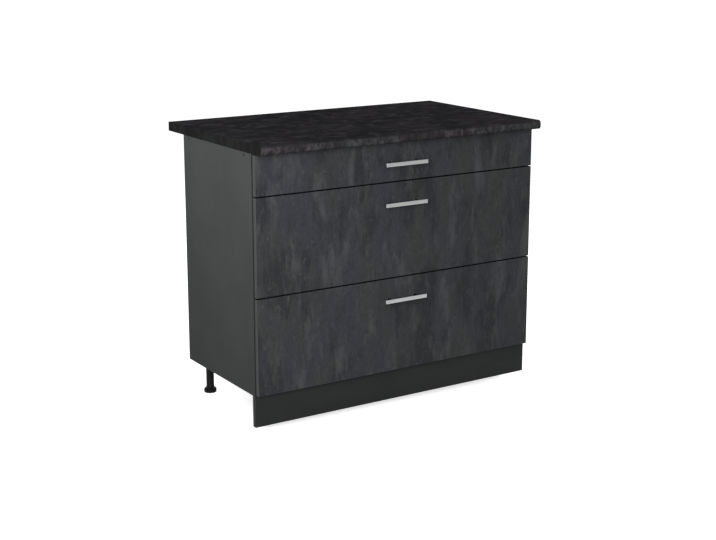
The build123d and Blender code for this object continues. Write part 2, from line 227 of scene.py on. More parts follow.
def make_world():
    """Even soft light from all round, and a plain white background."""
    world = bpy.data.worlds.new("studio")
    world.use_nodes = True
    tree = world.node_tree
    tree.nodes.clear()
    mix = tree.nodes.new("ShaderNodeMixShader")
    out = tree.nodes.new("ShaderNodeOutputWorld")
    tree.links.new(direct_look(tree), mix.inputs["Fac"])
    for socket, strength in ((1, world_strength), (2, 1.0)):
        shade = tree.nodes.new("ShaderNodeBackground")
        shade.inputs["Color"].default_value = (1, 1, 1, 1)
        shade.inputs["Strength"].default_value = strength
        tree.links.new(shade.outputs[0], mix.inputs[socket])
    tree.links.new(mix.outputs[0], out.inputs["Surface"])
    scene.world = world


def make_lamp(name, place, size, power):
    """Round soft area lamp that points at the cabinet's middle."""
    data = bpy.data.lights.new(name, "AREA")
    data.shape = "DISK"
    data.size = size
    data.energy = power
    lamp = link(bpy.data.objects.new(name, data))
    lamp.location = place
    way = Vector(lamp_target) - Vector(place)
    lamp.rotation_euler = way.to_track_quat("-Z", "Y").to_euler()


def make_floor():
    """Matt floor that looks white to the camera, throws little light back, and keeps the shadow.

    It lies as low as the feet screw out, so that they stay in view at every height.
    """
    joints = record["behaviour"]["joints"]
    level = -max(joint["range_m"][1] for joint in joints if joint["name"].startswith("foot_"))
    mesh = bpy.data.meshes.new("floor")
    half = floor_size / 2
    ends = ((-half, -half), (half, -half), (half, half), (-half, half))
    mesh.from_pydata([(x, y, level) for x, y in ends], [], [(0, 1, 2, 3)])
    floor = link(bpy.data.objects.new("floor", mesh))
    paint = Paint("floor", roughness=1.0, specular=0.0)
    seen = direct_look(paint.tree)
    paint.colour(paint.mix(seen, (floor_bounce, floor_bounce, floor_bounce, 1), (1, 1, 1, 1)))
    paint.surface.inputs["Emission Color"].default_value = (1, 1, 1, 1)
    paint.feed(paint.surface.inputs["Emission Strength"], paint.math("MULTIPLY", seen, floor_lift))
    mesh.materials.append(paint.material)


# ---------------------------------------------------------------- painting with nodes


def linear(shade):
    """Linear colour of a display colour whose red, green and blue go from 0 to 255."""
    parts = [value / 255 for value in shade]
    light = (part / 12.92 if part <= 0.04045 else ((part + 0.055) / 1.055) ** 2.4 for part in parts)
    return (*light, 1.0)


class Paint:
    """A node material. Its methods return sockets, so a surface reads like a formula."""

    def __init__(self, name, roughness=0.5, specular=0.5, metallic=0.0):
        self.material = bpy.data.materials.new(name)
        self.material.use_nodes = True
        self.tree = self.material.node_tree
        self.surface = self.tree.nodes["Principled BSDF"]
        self.surface.inputs["Roughness"].default_value = roughness
        self.surface.inputs["Specular IOR Level"].default_value = specular
        self.surface.inputs["Metallic"].default_value = metallic
        coordinates = self.tree.nodes.new("ShaderNodeTexCoord")
        self.place = coordinates.outputs["Object"]
        self.normal = coordinates.outputs["Normal"]

    def feed(self, socket, value):
        if isinstance(value, bpy.types.NodeSocket):
            self.tree.links.new(value, socket)
        else:
            socket.default_value = value

    def spread(self, texture, per_metre, offset=(0, 0, 0)):
        """A new texture node, with so many of its lumps per metre along X, Y and Z."""
        frame_of = self.tree.nodes.new("ShaderNodeMapping")
        self.feed(frame_of.inputs["Vector"], self.place)
        frame_of.inputs["Scale"].default_value = per_metre
        frame_of.inputs["Location"].default_value = offset
        node = self.tree.nodes.new(texture)
        self.feed(node.inputs["Vector"], frame_of.outputs[0])
        node.inputs["Scale"].default_value = 1.0
        return node

    def noise(self, per_metre, detail=4.0, roughness=0.5, distortion=0.0, offset=(0, 0, 0)):
        """Clouds from 0 to 1."""
        clouds = self.spread("ShaderNodeTexNoise", per_metre, offset)
        clouds.inputs["Detail"].default_value = detail
        clouds.inputs["Roughness"].default_value = roughness
        clouds.inputs["Distortion"].default_value = distortion
        return clouds.outputs["Fac"]

    def cells(self, per_metre):
        """Random grey for each cell."""
        return self.part(self.spread("ShaderNodeTexVoronoi", per_metre).outputs["Color"], X)

    def part(self, vector, axis):
        """One component of a vector or colour."""
        split = self.tree.nodes.new("ShaderNodeSeparateXYZ")
        self.feed(split.inputs[0], vector)
        return split.outputs[axis]

    def math(self, operation, first, second=0.0):
        node = self.tree.nodes.new("ShaderNodeMath")
        node.operation = operation
        self.feed(node.inputs[0], first)
        self.feed(node.inputs[1], second)
        return node.outputs[0]

    def both(self, first, second):
        return self.math("MULTIPLY", first, second)

    def either(self, first, second):
        return self.math("MAXIMUM", first, second)

    def faces(self, axis, slope=0.8):
        """1 on the faces of a board that look along an axis, either way, and 0 on the others."""
        return self.math("GREATER_THAN", self.math("ABSOLUTE", self.part(self.normal, axis)), slope)

    def beyond(self, axis, limit):
        """1 where the surface lies past limit on an axis."""
        return self.math("GREATER_THAN", self.part(self.place, axis), limit)

    def before(self, axis, limit):
        """1 where the surface lies short of limit on an axis."""
        return self.math("LESS_THAN", self.part(self.place, axis), limit)

    def ramp(self, value, low, high, start=0.0, end=1.0):
        """Smooth step from start to end as value goes from low to high."""
        node = self.tree.nodes.new("ShaderNodeMapRange")
        node.interpolation_type = "SMOOTHSTEP"
        self.feed(node.inputs["Value"], value)
        for name, number in zip(("From Min", "From Max", "To Min", "To Max"), (low, high, start, end)):
            node.inputs[name].default_value = number
        return node.outputs["Result"]

    def mix(self, share, first, second):
        """Colour between first and second."""
        node = self.tree.nodes.new("ShaderNodeMix")
        node.data_type = "RGBA"
        self.feed(node.inputs[0], share)
        self.feed(node.inputs[6], first)
        self.feed(node.inputs[7], second)
        return node.outputs[2]

    def tones(self, share, first, second):
        """Colour between two display colours."""
        return self.mix(share, linear(first), linear(second))

    def shades(self, value, low, high, first, second):
        """From one display colour to another as value goes from low to high."""
        return self.tones(self.ramp(value, low, high), first, second)

    def glaze(self, under, value, low, high, share, over):
        """A colour with up to share of a display colour over it as value goes from low to high."""
        return self.mix(self.ramp(value, low, high, 0.0, share), under, linear(over))

    def colour(self, value):
        self.feed(self.surface.inputs["Base Color"], value)

    def gloss(self, value):
        self.feed(self.surface.inputs["Roughness"], value)

    def relief(self, height, depth):
        """Raised detail, depth metres from lowest to highest."""
        node = self.tree.nodes.new("ShaderNodeBump")
        node.inputs["Distance"].default_value = depth
        self.feed(node.inputs["Height"], height)
        self.feed(self.surface.inputs["Normal"], node.outputs[0])

    def coarse_relief(self, fine, coarse, depth):
        """Raised detail of fine grain on coarser lumps twice as high."""
        self.relief(self.math("ADD", fine, self.math("MULTIPLY", coarse, 2.0)), depth)


# ---------------------------------------------------------------- finishes


def slate_board():
    """Laminate like oxidised slate, with paler upright wisps and fine scratches; its top, bottom and
    rear edges are near black as painted shade in the gaps.
    """
    paint = Paint("slate_laminate", roughness=0.6, specular=0.06)
    patches = paint.noise((10, 10, 4), detail=2, roughness=0.5, distortion=0.4)
    haze = paint.noise((13, 13, 5), detail=5, roughness=0.62, distortion=0.35, offset=(1, 6, 3))
    wisps = paint.noise((20, 20, 5.5), detail=6, roughness=0.66, distortion=0.3, offset=(6, 4, 9))
    streaks = paint.noise((90, 90, 15), detail=3, roughness=0.6, distortion=0.4, offset=(5, 3, 1))
    mottle = paint.noise((60, 60, 45), detail=5, roughness=0.7, distortion=0.8, offset=(1, 4, 2))
    grain = paint.noise((420, 420, 90), detail=3, roughness=0.6)
    scratches = paint.noise((520, 520, 22), detail=2, roughness=0.5, offset=(0, 5, 3))
    tint = paint.shades(patches, 0.44, 0.56, (58, 60, 65), (60, 61, 61))
    for clouds, low, high, share, over in (
        (haze, 0.47, 0.62, 0.75, (43, 44, 48)),
        (wisps, 0.50, 0.68, 0.75, (81, 82, 84)),
        (streaks, 0.52, 0.74, 0.22, (81, 82, 84)),
        (streaks, 0.46, 0.28, 0.25, (38, 39, 43)),
        (mottle, 0.55, 0.72, 0.45, (87, 88, 90)),
        (mottle, 0.45, 0.30, 0.40, (38, 39, 43)),
        (grain, 0.40, 0.70, 0.10, (96, 98, 101)),
        (scratches, 0.68, 0.76, 0.20, (104, 106, 108)),
    ):
        tint = paint.glaze(tint, clouds, low, high, share, over)
    ends = paint.shades(grain, 0.3, 0.7, (66, 69, 68), (74, 76, 75))
    tint = paint.mix(paint.faces(X), tint, ends)
    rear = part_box("top_drawer_front")[1].y
    # Painted shade: the top, bottom and rear edges of each front are near black, so the gaps between
    # and beside the fronts read dark.
    painted_gap_shade = paint.either(paint.faces(Z, slope=0.35), paint.beyond(Y, rear - front_edge))
    tint = paint.mix(painted_gap_shade, tint, paint.tones(haze, (8, 8, 9), (14, 14, 15)))
    backing = paint.shades(grain, 0.35, 0.65, (52, 54, 53), (58, 60, 59))
    paint.colour(paint.mix(paint.beyond(Y, rear - front_skin), tint, backing))
    paint.gloss(paint.ramp(wisps, 0.3, 0.7, 0.55, 0.70))
    paint.coarse_relief(grain, mottle, 0.10 * MM)
    return paint.material


def chip_colours(paint):
    """Pressed chips of pale and dark wood."""
    chips = paint.cells((420, 420, 900))
    fines = paint.noise((900, 900, 900), detail=3, roughness=0.7)
    tint = paint.tones(chips, (126, 100, 70), (184, 158, 120))
    return paint.glaze(tint, fines, 0.55, 0.70, 0.55, (92, 70, 48))


def carcass_board():
    """Graphite melamine with a pearl grain, darker front edges as painted shade in the gaps, and raw
    chipboard at the rear edges and under the sides.
    """
    low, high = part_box("side_panel_left")
    inner_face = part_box("bottom_panel")[1].x
    paint = Paint("graphite_melamine", roughness=0.55, specular=0.0)
    pearl = paint.noise((900, 900, 900), detail=2, roughness=0.6)
    clouds = paint.noise((6, 6, 6), detail=3, roughness=0.5)
    tint = paint.shades(clouds, 0.35, 0.65, (70, 72, 71), (73, 75, 74))
    tint = paint.glaze(tint, pearl, 0.55, 0.75, 0.25, (90, 93, 91))
    in_side = paint.math("GREATER_THAN", paint.math("ABSOLUTE", paint.part(paint.place, X)), inner_face)
    under = paint.both(paint.before(Z, low.z + raw_skin), in_side)
    bare = paint.either(paint.beyond(Y, high.y - raw_skin), under)
    # Painted shade: the front edges are darker, so the gaps beside the drawer fronts read dark.
    front = paint.before(Y, low.y + board_edge)
    tint = paint.mix(front, tint, paint.tones(clouds, (46, 47, 47), (52, 53, 53)))
    paint.colour(paint.mix(bare, tint, chip_colours(paint)))
    paint.gloss(paint.ramp(bare, 0.0, 1.0, 0.5, 0.85))
    paint.relief(pearl, 0.03 * MM)
    return paint.material


def melamine(name, roughness, specular, lumps, dark, pale, grains, share, pearl):
    """Melamine with a fine pearl grain over dark and pale clouds.

    lumps and grains are the numbers per metre of the clouds and of the pearl grains.
    """
    paint = Paint(name, roughness=roughness, specular=specular)
    fine = paint.noise((grains, grains, grains), detail=2, roughness=0.6)
    clouds = paint.noise(lumps, detail=3, roughness=0.5)
    tint = paint.shades(clouds, 0.35, 0.65, dark, pale)
    paint.colour(paint.glaze(tint, fine, 0.55, 0.75, share, pearl))
    paint.relief(fine, 0.03 * MM)
    return paint.material


def worktop_laminate():
    """Dark mottled stone laminate with purple and brown clouds and pale flecks, on chipboard."""
    low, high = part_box("worktop")
    paint = Paint("stone_laminate", roughness=0.7, specular=0.0)
    patches = paint.noise((7, 9, 9), detail=4, roughness=0.6, distortion=0.7)
    mottle = paint.noise((20, 34, 20), detail=6, roughness=0.66, distortion=0.6, offset=(4, 1, 2))
    flecks = paint.noise((150, 150, 45), detail=4, roughness=0.65, offset=(2, 6, 8))
    pits = paint.noise((420, 420, 200), detail=3, roughness=0.6)
    tint = paint.shades(patches, 0.42, 0.60, (39, 39, 42), (49, 46, 48))
    tint = paint.glaze(tint, mottle, 0.50, 0.66, 0.70, (68, 66, 68))
    tint = paint.glaze(tint, mottle, 0.48, 0.36, 0.50, (30, 29, 32))
    tint = paint.glaze(tint, flecks, 0.58, 0.72, 0.30, (84, 82, 83))
    # The nosing's pattern and its painted highlight fade out over the rear half of its curve and
    # towards its top
    depth, height = paint.part(paint.place, Y), paint.part(paint.place, Z)
    nosing_pattern_and_highlight_share = paint.both(
        paint.ramp(depth, low.y + 0.5 * nosing_radius, low.y + nosing_radius, 1.0, 0.0),
        paint.ramp(height, high.z - 0.9 * nosing_radius, high.z - 0.2 * nosing_radius, 1.0, 0.0),
    )
    tint = paint.mix(nosing_pattern_and_highlight_share, tint, nosing_pattern_and_highlight(paint, mottle, flecks))
    ends = paint.either(paint.beyond(X, high.x - laminate_skin), paint.before(X, low.x + laminate_skin))
    tint = paint.mix(ends, tint, paint.shades(mottle, 0.40, 0.62, (31, 32, 31), (39, 40, 39)))
    tint = paint.mix(paint.beyond(Y, high.y - laminate_skin), tint, chip_colours(paint))
    below = paint.both(paint.before(Z, low.z + laminate_skin), paint.beyond(Y, low.y + backing_setback))
    backing = paint.shades(mottle, 0.40, 0.60, (96, 84, 70), (112, 99, 84))
    paint.colour(paint.mix(below, tint, backing))
    paint.gloss(paint.ramp(flecks, 0.4, 0.7, 0.58, 0.70))
    paint.coarse_relief(pits, mottle, 0.10 * MM)
    return paint.material


def nosing_pattern_and_highlight(paint, mottle, flecks):
    """Paler than the top as a painted highlight, with upright flecks, purple in some stretches and
    grey-green in others.
    """
    stretch = paint.noise((5, 1, 1), detail=2, roughness=0.5, offset=(6, 3, 3))
    shade = paint.noise((9, 1, 1), detail=3, roughness=0.6, offset=(2, 8, 5))
    strokes = paint.noise((70, 40, 34), detail=6, roughness=0.74, distortion=0.9, offset=(7, 7, 1))
    purple = paint.shades(strokes, 0.36, 0.72, (46, 42, 45), (92, 85, 90))
    green = paint.shades(strokes, 0.36, 0.72, (48, 48, 50), (88, 89, 90))
    tint = paint.mix(paint.ramp(stretch, 0.42, 0.58), purple, green)
    tint = paint.glaze(tint, shade, 0.50, 0.40, 0.55, (42, 41, 43))
    tint = paint.glaze(tint, mottle, 0.46, 0.32, 0.50, (36, 35, 37))
    return paint.glaze(tint, flecks, 0.58, 0.72, 0.35, (104, 103, 104))


def satin_metal():
    """Satin nickel with fine lines along the bar, and the posts behind it painted dark as painted
    shade.
    """
    paint = Paint("satin_metal", roughness=0.38, metallic=1.0)
    lines = paint.noise((14, 1500, 1500), detail=3, roughness=0.6)
    clouds = paint.noise((30, 60, 60), detail=3, roughness=0.5)
    tint = paint.shades(lines, 0.3, 0.7, (150, 150, 152), (166, 166, 167))
    bar_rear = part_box("top_drawer_handle")[0].y + bar_depth
    # Painted shade: the posts and flanges behind the bar are dark, standing in for the shade behind it.
    paint.colour(paint.mix(paint.beyond(Y, bar_rear + bar_skin), tint, linear((62, 62, 64))))
    paint.gloss(paint.ramp(clouds, 0.35, 0.65, 0.34, 0.44))
    paint.relief(lines, 0.02 * MM)
    return paint.material


def moulded_plastic(name, dark, pale, roughness, specular=0.4):
    """Moulded plastic with a fine spark-eroded skin."""
    paint = Paint(name, roughness=roughness, specular=specular)
    skin = paint.noise((1100, 1100, 1100), detail=2, roughness=0.6)
    flow = paint.noise((40, 40, 18), detail=3, roughness=0.5)
    paint.colour(paint.shades(flow, 0.35, 0.65, dark, pale))
    paint.gloss(paint.ramp(flow, 0.35, 0.65, roughness - 0.04, roughness + 0.06))
    paint.relief(skin, 0.04 * MM)
    return paint.material


def powder_coat():
    """Grey epoxy powder coat with a light orange peel."""
    paint = Paint("powder_coat", roughness=0.42, specular=0.5)
    peel = paint.noise((500, 500, 500), detail=2, roughness=0.5)
    dust = paint.noise((12, 12, 12), detail=4, roughness=0.6)
    paint.colour(paint.shades(dust, 0.40, 0.65, (168, 170, 172), (176, 178, 180)))
    paint.gloss(paint.ramp(dust, 0.35, 0.7, 0.38, 0.5))
    paint.relief(peel, 0.05 * MM)
    return paint.material


def hardboard():
    """Thin hardboard: pale grey lacquer inside and brown pressed fibre behind."""
    paint = Paint("hardboard", roughness=0.6, specular=0.3)
    fibres = paint.noise((260, 260, 60), detail=5, roughness=0.75, distortion=1.5)
    felt = paint.noise((700, 700, 700), detail=4, roughness=0.8)
    clouds = paint.noise((7, 7, 7), detail=4, roughness=0.6)
    lacquer = paint.shades(clouds, 0.40, 0.60, (150, 150, 148), (156, 156, 154))
    fibre = paint.shades(fibres, 0.35, 0.65, (92, 66, 44), (122, 92, 64))
    fibre = paint.glaze(fibre, clouds, 0.40, 0.70, 0.40, (84, 60, 40))
    rear = paint.beyond(Y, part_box("back_panel")[1].y - raw_skin)
    paint.colour(paint.mix(rear, lacquer, fibre))
    paint.gloss(paint.ramp(rear, 0.0, 1.0, 0.45, 0.9))
    paint.relief(felt, 0.08 * MM)
    return paint.material


def zinc_plate():
    """Zinc plating, slightly blue and cloudy."""
    paint = Paint("zinc_plate", roughness=0.35, metallic=1.0)
    clouds = paint.noise((120, 120, 120), detail=5, roughness=0.7)
    paint.colour(paint.shades(clouds, 0.35, 0.65, (170, 174, 180), (200, 203, 206)))
    paint.gloss(paint.ramp(clouds, 0.3, 0.7, 0.28, 0.46))
    paint.relief(clouds, 0.01 * MM)
    return paint.material


def beech():
    """Beech with fine rays along the dowel."""
    paint = Paint("beech", roughness=0.6, specular=0.3)
    rays = paint.noise((60, 900, 900), detail=4, roughness=0.6)
    paint.colour(paint.shades(rays, 0.35, 0.65, (176, 134, 92), (206, 168, 124)))
    paint.relief(rays, 0.05 * MM)
    return paint.material


# ---------------------------------------------------------------- shapes


def facing(place, way=(0, 0, 1)):
    """Local frame at a place, with its own Z axis along way."""
    return Matrix.Translation(place) @ Vector(way).to_track_quat("Z", "Y").to_matrix().to_4x4()


def middle(low, high):
    return (low + high) / 2


def welded(node):
    """A CAD node's shape with its facets joined and flat faces merged."""
    shape = bmesh.new()
    shape.from_mesh(nodes[node].data)
    bmesh.ops.remove_doubles(shape, verts=shape.verts, dist=smallest_join)
    bmesh.ops.dissolve_limit(shape, angle_limit=flat_angle, verts=shape.verts, edges=shape.edges)
    return shape


def solids(node):
    """Lowest and highest corner of each solid of a CAD node, from left to right."""
    shape = welded(node)
    left = set(shape.verts)
    boxes = []
    while left:
        grown = [left.pop()]
        for vert in grown:
            for edge in vert.link_edges:
                other = edge.other_vert(vert)
                if other in left:
                    left.remove(other)
                    grown.append(other)
        axes = list(zip(*(vert.co for vert in grown)))
        boxes.append((Vector(min(axis) for axis in axes), Vector(max(axis) for axis in axes)))
    shape.free()
    return sorted(boxes, key=lambda box: tuple(round(value, 5) for value in box[0]))


def each_once(groups):
    """The members of all groups, each once, in an order that is the same in every run."""
    return list(dict.fromkeys(member for group in groups for member in group))


def round_edges(shape, sides, edge, steps=2):
    bmesh.ops.bevel(shape, geom=sides, offset=edge, segments=steps, profile=0.5, affect="EDGES")


def scaled(curve, radius, height):
    """A turned profile from pairs that are shares of a radius and a height."""
    return [(radius * wide, height * tall) for wide, tall in curve]


def both_ends(half, length):
    """A turned profile of this length, from the half at its start and the same half mirrored."""
    return half + [(radius, length - height) for radius, height in reversed(half)]


def add_strip(shape, rings, closed=False):
    """Faces between rings of points, and at the ends, which are returned.

    A ring of one point is a tip.
    """
    pairs = list(zip(rings, rings[1:]))
    if closed:
        pairs.append((rings[-1], rings[0]))
    for low, high in pairs:
        count = max(len(low), len(high))
        for step in range(count):
            after = (step + 1) % count
            below = [low[step % len(low)], low[after % len(low)]]
            above = [high[after % len(high)], high[step % len(high)]]
            shape.faces.new(list(dict.fromkeys(below + above)))
    if closed:
        return []
    return [shape.faces.new(end) for end in (rings[0], rings[-1]) if len(end) > 1]


def add_ring(shape, at, radius, height, turns):
    """Ring of points round the local Z axis. turns is (angle, inset) pairs."""
    ring = []
    for angle, inset in turns:
        reach = radius - inset
        place = Vector((reach * math.cos(angle), reach * math.sin(angle), height))
        ring.append(shape.verts.new(at @ place))
    return ring


def add_turned(shape, at, profile, sides=round_sides, closed=False, outline=None):
    """Solid turned about the local Z axis.

    profile is (radius, height) pairs, from end to end or closed, and outline the (angle, inset) pairs
    of a foot that isn't round.
    """
    rings = []
    turns = outline or [(math.tau * step / sides, 0.0) for step in range(sides)]
    for radius, height in profile:
        if radius == 0:
            rings.append([shape.verts.new(at @ Vector((0, 0, height)))])
        else:
            rings.append(add_ring(shape, at, radius, height, turns))
    add_strip(shape, rings, closed)


def add_prism(shape, at, outline, depth, edge):
    """Outline in the local XY plane, raised by depth, with its end edges rounded."""
    rings = []
    for height in (0, depth):
        rings.append([shape.verts.new(at @ Vector((x, y, height))) for x, y in outline])
    caps = add_strip(shape, rings)
    round_edges(shape, each_once(face.edges for face in caps), edge)


def add_block(shape, low, high, edge):
    """Box with rounded edges."""
    at = Matrix.Translation(middle(low, high)) @ Matrix.Diagonal((*(high - low), 1))
    made = bmesh.ops.create_cube(shape, size=1, matrix=at)
    round_edges(shape, each_once(vert.link_edges for vert in made["verts"]), edge, steps=3)


def add_piece(name, shape, body, slot, *replaced):
    """Finish a shape as a piece that moves with a body and stands for the nodes it replaces."""
    bmesh.ops.recalc_face_normals(shape, faces=shape.faces)
    mesh = bpy.data.meshes.new(name)
    shape.to_mesh(mesh)
    shape.free()
    for polygon in mesh.polygons:
        polygon.use_smooth = True
    mesh.set_sharp_from_angle(angle=crease_angle)
    mesh.materials.append(finishes[slot])
    piece = link(bpy.data.objects.new(name, mesh))
    piece.modifiers.new("even_faces", "WEIGHTED_NORMAL").keep_sharp = True
    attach(piece, body)
    if replaced:
        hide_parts(*replaced)


def redo(node, name, shape):
    """Finish a shape as the piece that stands for one CAD node."""
    add_piece(name, shape, body_of[node], slot_of[node], node)


# ---------------------------------------------------------------- boards


def rounded_board(node, edge, front_only=False):
    """A board's own shape with the edges of its box rounded, or only those of its front."""
    low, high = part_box(node)
    shape = welded(node)

    def on_border(place):
        """Whether a place lies on the left, right, front, rear, lower and upper face of the box."""
        gaps = [abs(place[axis] - end[axis]) for axis in (X, Y, Z) for end in (low, high)]
        return [gap < smallest_join for gap in gaps]

    front = 2
    sides = []
    for side in shape.edges:
        shared = [a and b for a, b in zip(*(on_border(vert.co) for vert in side.verts))]
        if sum(shared) == 2 and (shared[front] or not front_only):
            sides.append(side)
    round_edges(shape, sides, edge)
    redo(node, f"{node}_board", shape)


def make_worktop():
    """Post-formed worktop: round nosing in front, square edges behind."""
    low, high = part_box("worktop")
    outline = [(high.y, low.z), (high.y, high.z)]
    for quarter, z in ((1, high.z - nosing_radius), (2, low.z + nosing_radius)):
        for step in range(nosing_steps + 1):
            angle = math.pi / 2 * (quarter + step / nosing_steps)
            y = low.y + nosing_radius * (1 + math.cos(angle))
            outline.append((y, z + nosing_radius * math.sin(angle)))
    # The outline's own X runs along the depth, its Y upwards, and it is raised along the width
    lie = Matrix(((0, 0, 1, low.x), (1, 0, 0, 0), (0, 1, 0, 0), (0, 0, 0, 1)))
    shape = bmesh.new()
    add_prism(shape, lie, outline, high.x - low.x, end_edge)
    redo("worktop", "worktop_board", shape)


# ---------------------------------------------------------------- handles and fittings


def make_handle(node):
    """Flat bar with soft edges on two turned posts, each with a fillet behind the bar and a flange."""
    low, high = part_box(node)
    bar_rear = low.y + bar_depth
    length = high.y - bar_rear
    shape = bmesh.new()
    add_block(shape, low, Vector((high.x, bar_rear, high.z)), bar_edge)
    post = []
    for step in range(post_fillet_steps + 1):
        angle = math.pi / 2 * step / post_fillet_steps
        radius = post_radius + post_fillet * (1 - math.sin(angle))
        post.append((radius, post_fillet * (1 - math.cos(angle))))
    start = length - flange_height
    post += [
        (post_radius, start - post_neck),
        (flange_radius - flange_edge, start),
        (flange_radius, start + 0.8 * flange_edge),
        (flange_radius, length),
    ]
    for side in (-1, 1):
        place = Vector((side * post_spacing / 2, bar_rear, (low.z + high.z) / 2))
        add_turned(shape, facing(place, (0, 1, 0)), post)
    redo(node, f"{node}_bar", shape)


def plus_outline(reach, half_width):
    """Corners of a cross recess, turning left."""
    corners = []
    for quarter in range(4):
        angle = math.pi / 2 * quarter
        for x, y in ((reach, -half_width), (reach, half_width), (half_width, half_width)):
            turned_x = x * math.cos(angle) - y * math.sin(angle)
            corners.append((turned_x, x * math.sin(angle) + y * math.cos(angle)))
    return corners


def add_screw(shape, at, head_radius, head, shank_radius, length):
    """Screw with its head above the local XY plane, domed and cross-recessed, and its shank below."""
    turns = [(math.tau * (step + 0.5) / small_sides, 0.0) for step in range(small_sides)]
    dome = scaled(screw_dome, head_radius, head)
    rings = [add_ring(shape, at, radius, height, turns) for radius, height in dome]
    shape.faces.remove(add_strip(shape, rings)[-1])
    cross = plus_outline(head_radius * recess_reach, head_radius * recess_half_width)
    mouth = [shape.verts.new(at @ Vector((x, y, head))) for x, y in cross]
    floor = [
        shape.verts.new(at @ Vector((recess_taper * x, recess_taper * y, recess_floor * head)))
        for x, y in cross
    ]
    zip_loops(shape, at, rings[-1], mouth)
    for step in range(len(cross)):
        after = (step + 1) % len(cross)
        shape.faces.new([mouth[step], mouth[after], floor[after], floor[step]])
    shape.faces.new(floor)
    shank = [(shank_radius, shank_gap), (shank_radius, 2 * shank_radius - length), (0, -length)]
    add_turned(shape, at, shank, shank_sides)


def zip_loops(shape, at, outer, inner):
    """Faces between two loops of points round the local Z axis, joined in order of their angle."""
    back = at.inverted()

    def turned_from(loop):
        angles = {}
        for vert in loop:
            place = back @ vert.co
            angles[vert] = math.atan2(place.y, place.x) % math.tau
        order = sorted(loop, key=angles.get)
        return [(angles[vert], vert) for vert in order] + [(angles[order[0]] + math.tau, order[0])]

    wide = turned_from(outer)
    tight = turned_from(inner)
    i = j = 0
    while i < len(wide) - 1 or j < len(tight) - 1:
        if j == len(tight) - 1 or (i < len(wide) - 1 and wide[i + 1][0] <= tight[j + 1][0]):
            shape.faces.new([wide[i][1], wide[i + 1][1], tight[j][1]])
            i += 1
        else:
            shape.faces.new([wide[i][1], tight[j + 1][1], tight[j][1]])
            j += 1


def make_screws(node, axis, way, head=screw_head, mirrored=False):
    """Screws in place of a node's plain ones.

    Their heads face one way, 1 or -1, along an axis. Where mirrored, those on the right face the other.
    """
    shape = bmesh.new()
    for low, high in solids(node):
        turn = -way if mirrored and low.x > 0 else way
        heading = Vector((0, 0, 0))
        heading[axis] = turn
        seat = middle(low, high)
        seat[axis] = (high if turn > 0 else low)[axis] - turn * head
        length = high[axis] - low[axis] - head
        add_screw(shape, facing(seat, heading), screw_head_radius, head, screw_shank, length)
    redo(node, f"{node}_set", shape)


def make_caps():
    """Slightly domed cover caps, each with a dimple in its middle."""
    shape = bmesh.new()
    for low, high in solids("screw_cover_caps"):
        radius = (high.z - low.z) / 2
        thickness = high.x - low.x
        side = 1 if low.x > 0 else -1
        inner = middle(low, high)
        inner.x = low.x if side > 0 else high.x
        profile = [(radius, 0), (radius, thickness)]
        profile += [(radius * wide, thickness + cap_rise * tall) for wide, tall in cap_dome]
        profile.append((cap_dimple_radius, thickness + cap_rise))
        profile += scaled(cap_dimple, cap_dimple_radius, thickness)
        add_turned(shape, facing(inner, (side, 0, 0)), profile, small_sides)
    redo("screw_cover_caps", "screw_cover_caps_set", shape)


def make_bumpers():
    """Clear domed pads."""
    shape = bmesh.new()
    for low, high in solids("bumper_pads"):
        seat = middle(low, high)
        seat.y = high.y
        dome = scaled(bumper_dome, (high.x - low.x) / 2, high.y - low.y)
        add_turned(shape, facing(seat, (0, -1, 0)), dome, small_sides)
    redo("bumper_pads", "bumper_pads_set", shape)


# ---------------------------------------------------------------- rollers and rails


def make_rollers(node):
    """Nylon rollers with rounded treads and a groove round the hub on both faces."""
    shape = bmesh.new()
    for low, high in solids(node):
        rim = (high.z - low.z) / 2
        bore = roller_bore * rim
        half = [(bore + out * MM, deep * MM) for out, deep in hub_curve]
        half += [(rim - inset * MM, deep * MM) for inset, deep in rim_curve]
        place = middle(low, high)
        place.x = low.x
        add_turned(shape, facing(place, (1, 0, 0)), both_ends(half, high.x - low.x), closed=True)
    redo(node, f"{node}_set", shape)


def make_axle_heads():
    """Domed rivet heads over the ends of the fixed rollers' axles."""
    for name in drawers:
        wheels = solids(f"runner_rollers_{name}")
        for side, way, (low, high) in (("left", 1, wheels[0]), ("right", -1, wheels[1])):
            place = middle(low, high)
            place.x = (high.x if way > 0 else low.x) + way * axle_head_room
            shape = bmesh.new()
            head = scaled(axle_head_curve, axle_head_radius, MM)
            add_turned(shape, facing(place, (way, 0, 0)), head, small_sides)
            add_piece(f"axle_head_{name}_{side}", shape, "carcass", "zinc_steel")


def make_gallery(node):
    """Round rods, each in a moulded socket with a soft shoulder at both ends."""
    shape = bmesh.new()
    for low, high in solids(node):
        wide = (high.x - low.x) / 2
        half = [(wide - socket_edge, 0), (wide, socket_edge)]
        half += [(wide - inset * MM, socket_length - short * MM) for inset, short in socket_shoulder]
        half += [(rod_radius + 2 * rod_fillet, socket_length), (rod_radius, socket_length + rod_fillet)]
        place = middle(low, high)
        place.y = low.y
        add_turned(shape, facing(place, (0, 1, 0)), both_ends(half, high.y - low.y))
    redo(node, f"{node}_pair", shape)


# ---------------------------------------------------------------- levelling legs


def scalloped(radius):
    """Turns and insets of a foot's outline: a circle with a round scallop between its lobes."""
    reach = math.asin(scallop_radius / radius)
    spare = math.tau / foot_lobes - 2 * reach
    turns = []
    for lobe in range(foot_lobes):
        centre = math.tau * lobe / foot_lobes
        for step in range(-scallop_steps, scallop_steps + 1):
            swing = reach * step / scallop_steps
            depth = math.sqrt(max(scallop_radius**2 - (radius * math.sin(swing)) ** 2, 0))
            turns.append((centre + swing, radius * (1 - math.cos(swing)) + depth))
        for step in range(1, lobe_steps):
            turns.append((centre + reach + spare * step / lobe_steps, 0.0))
    return turns


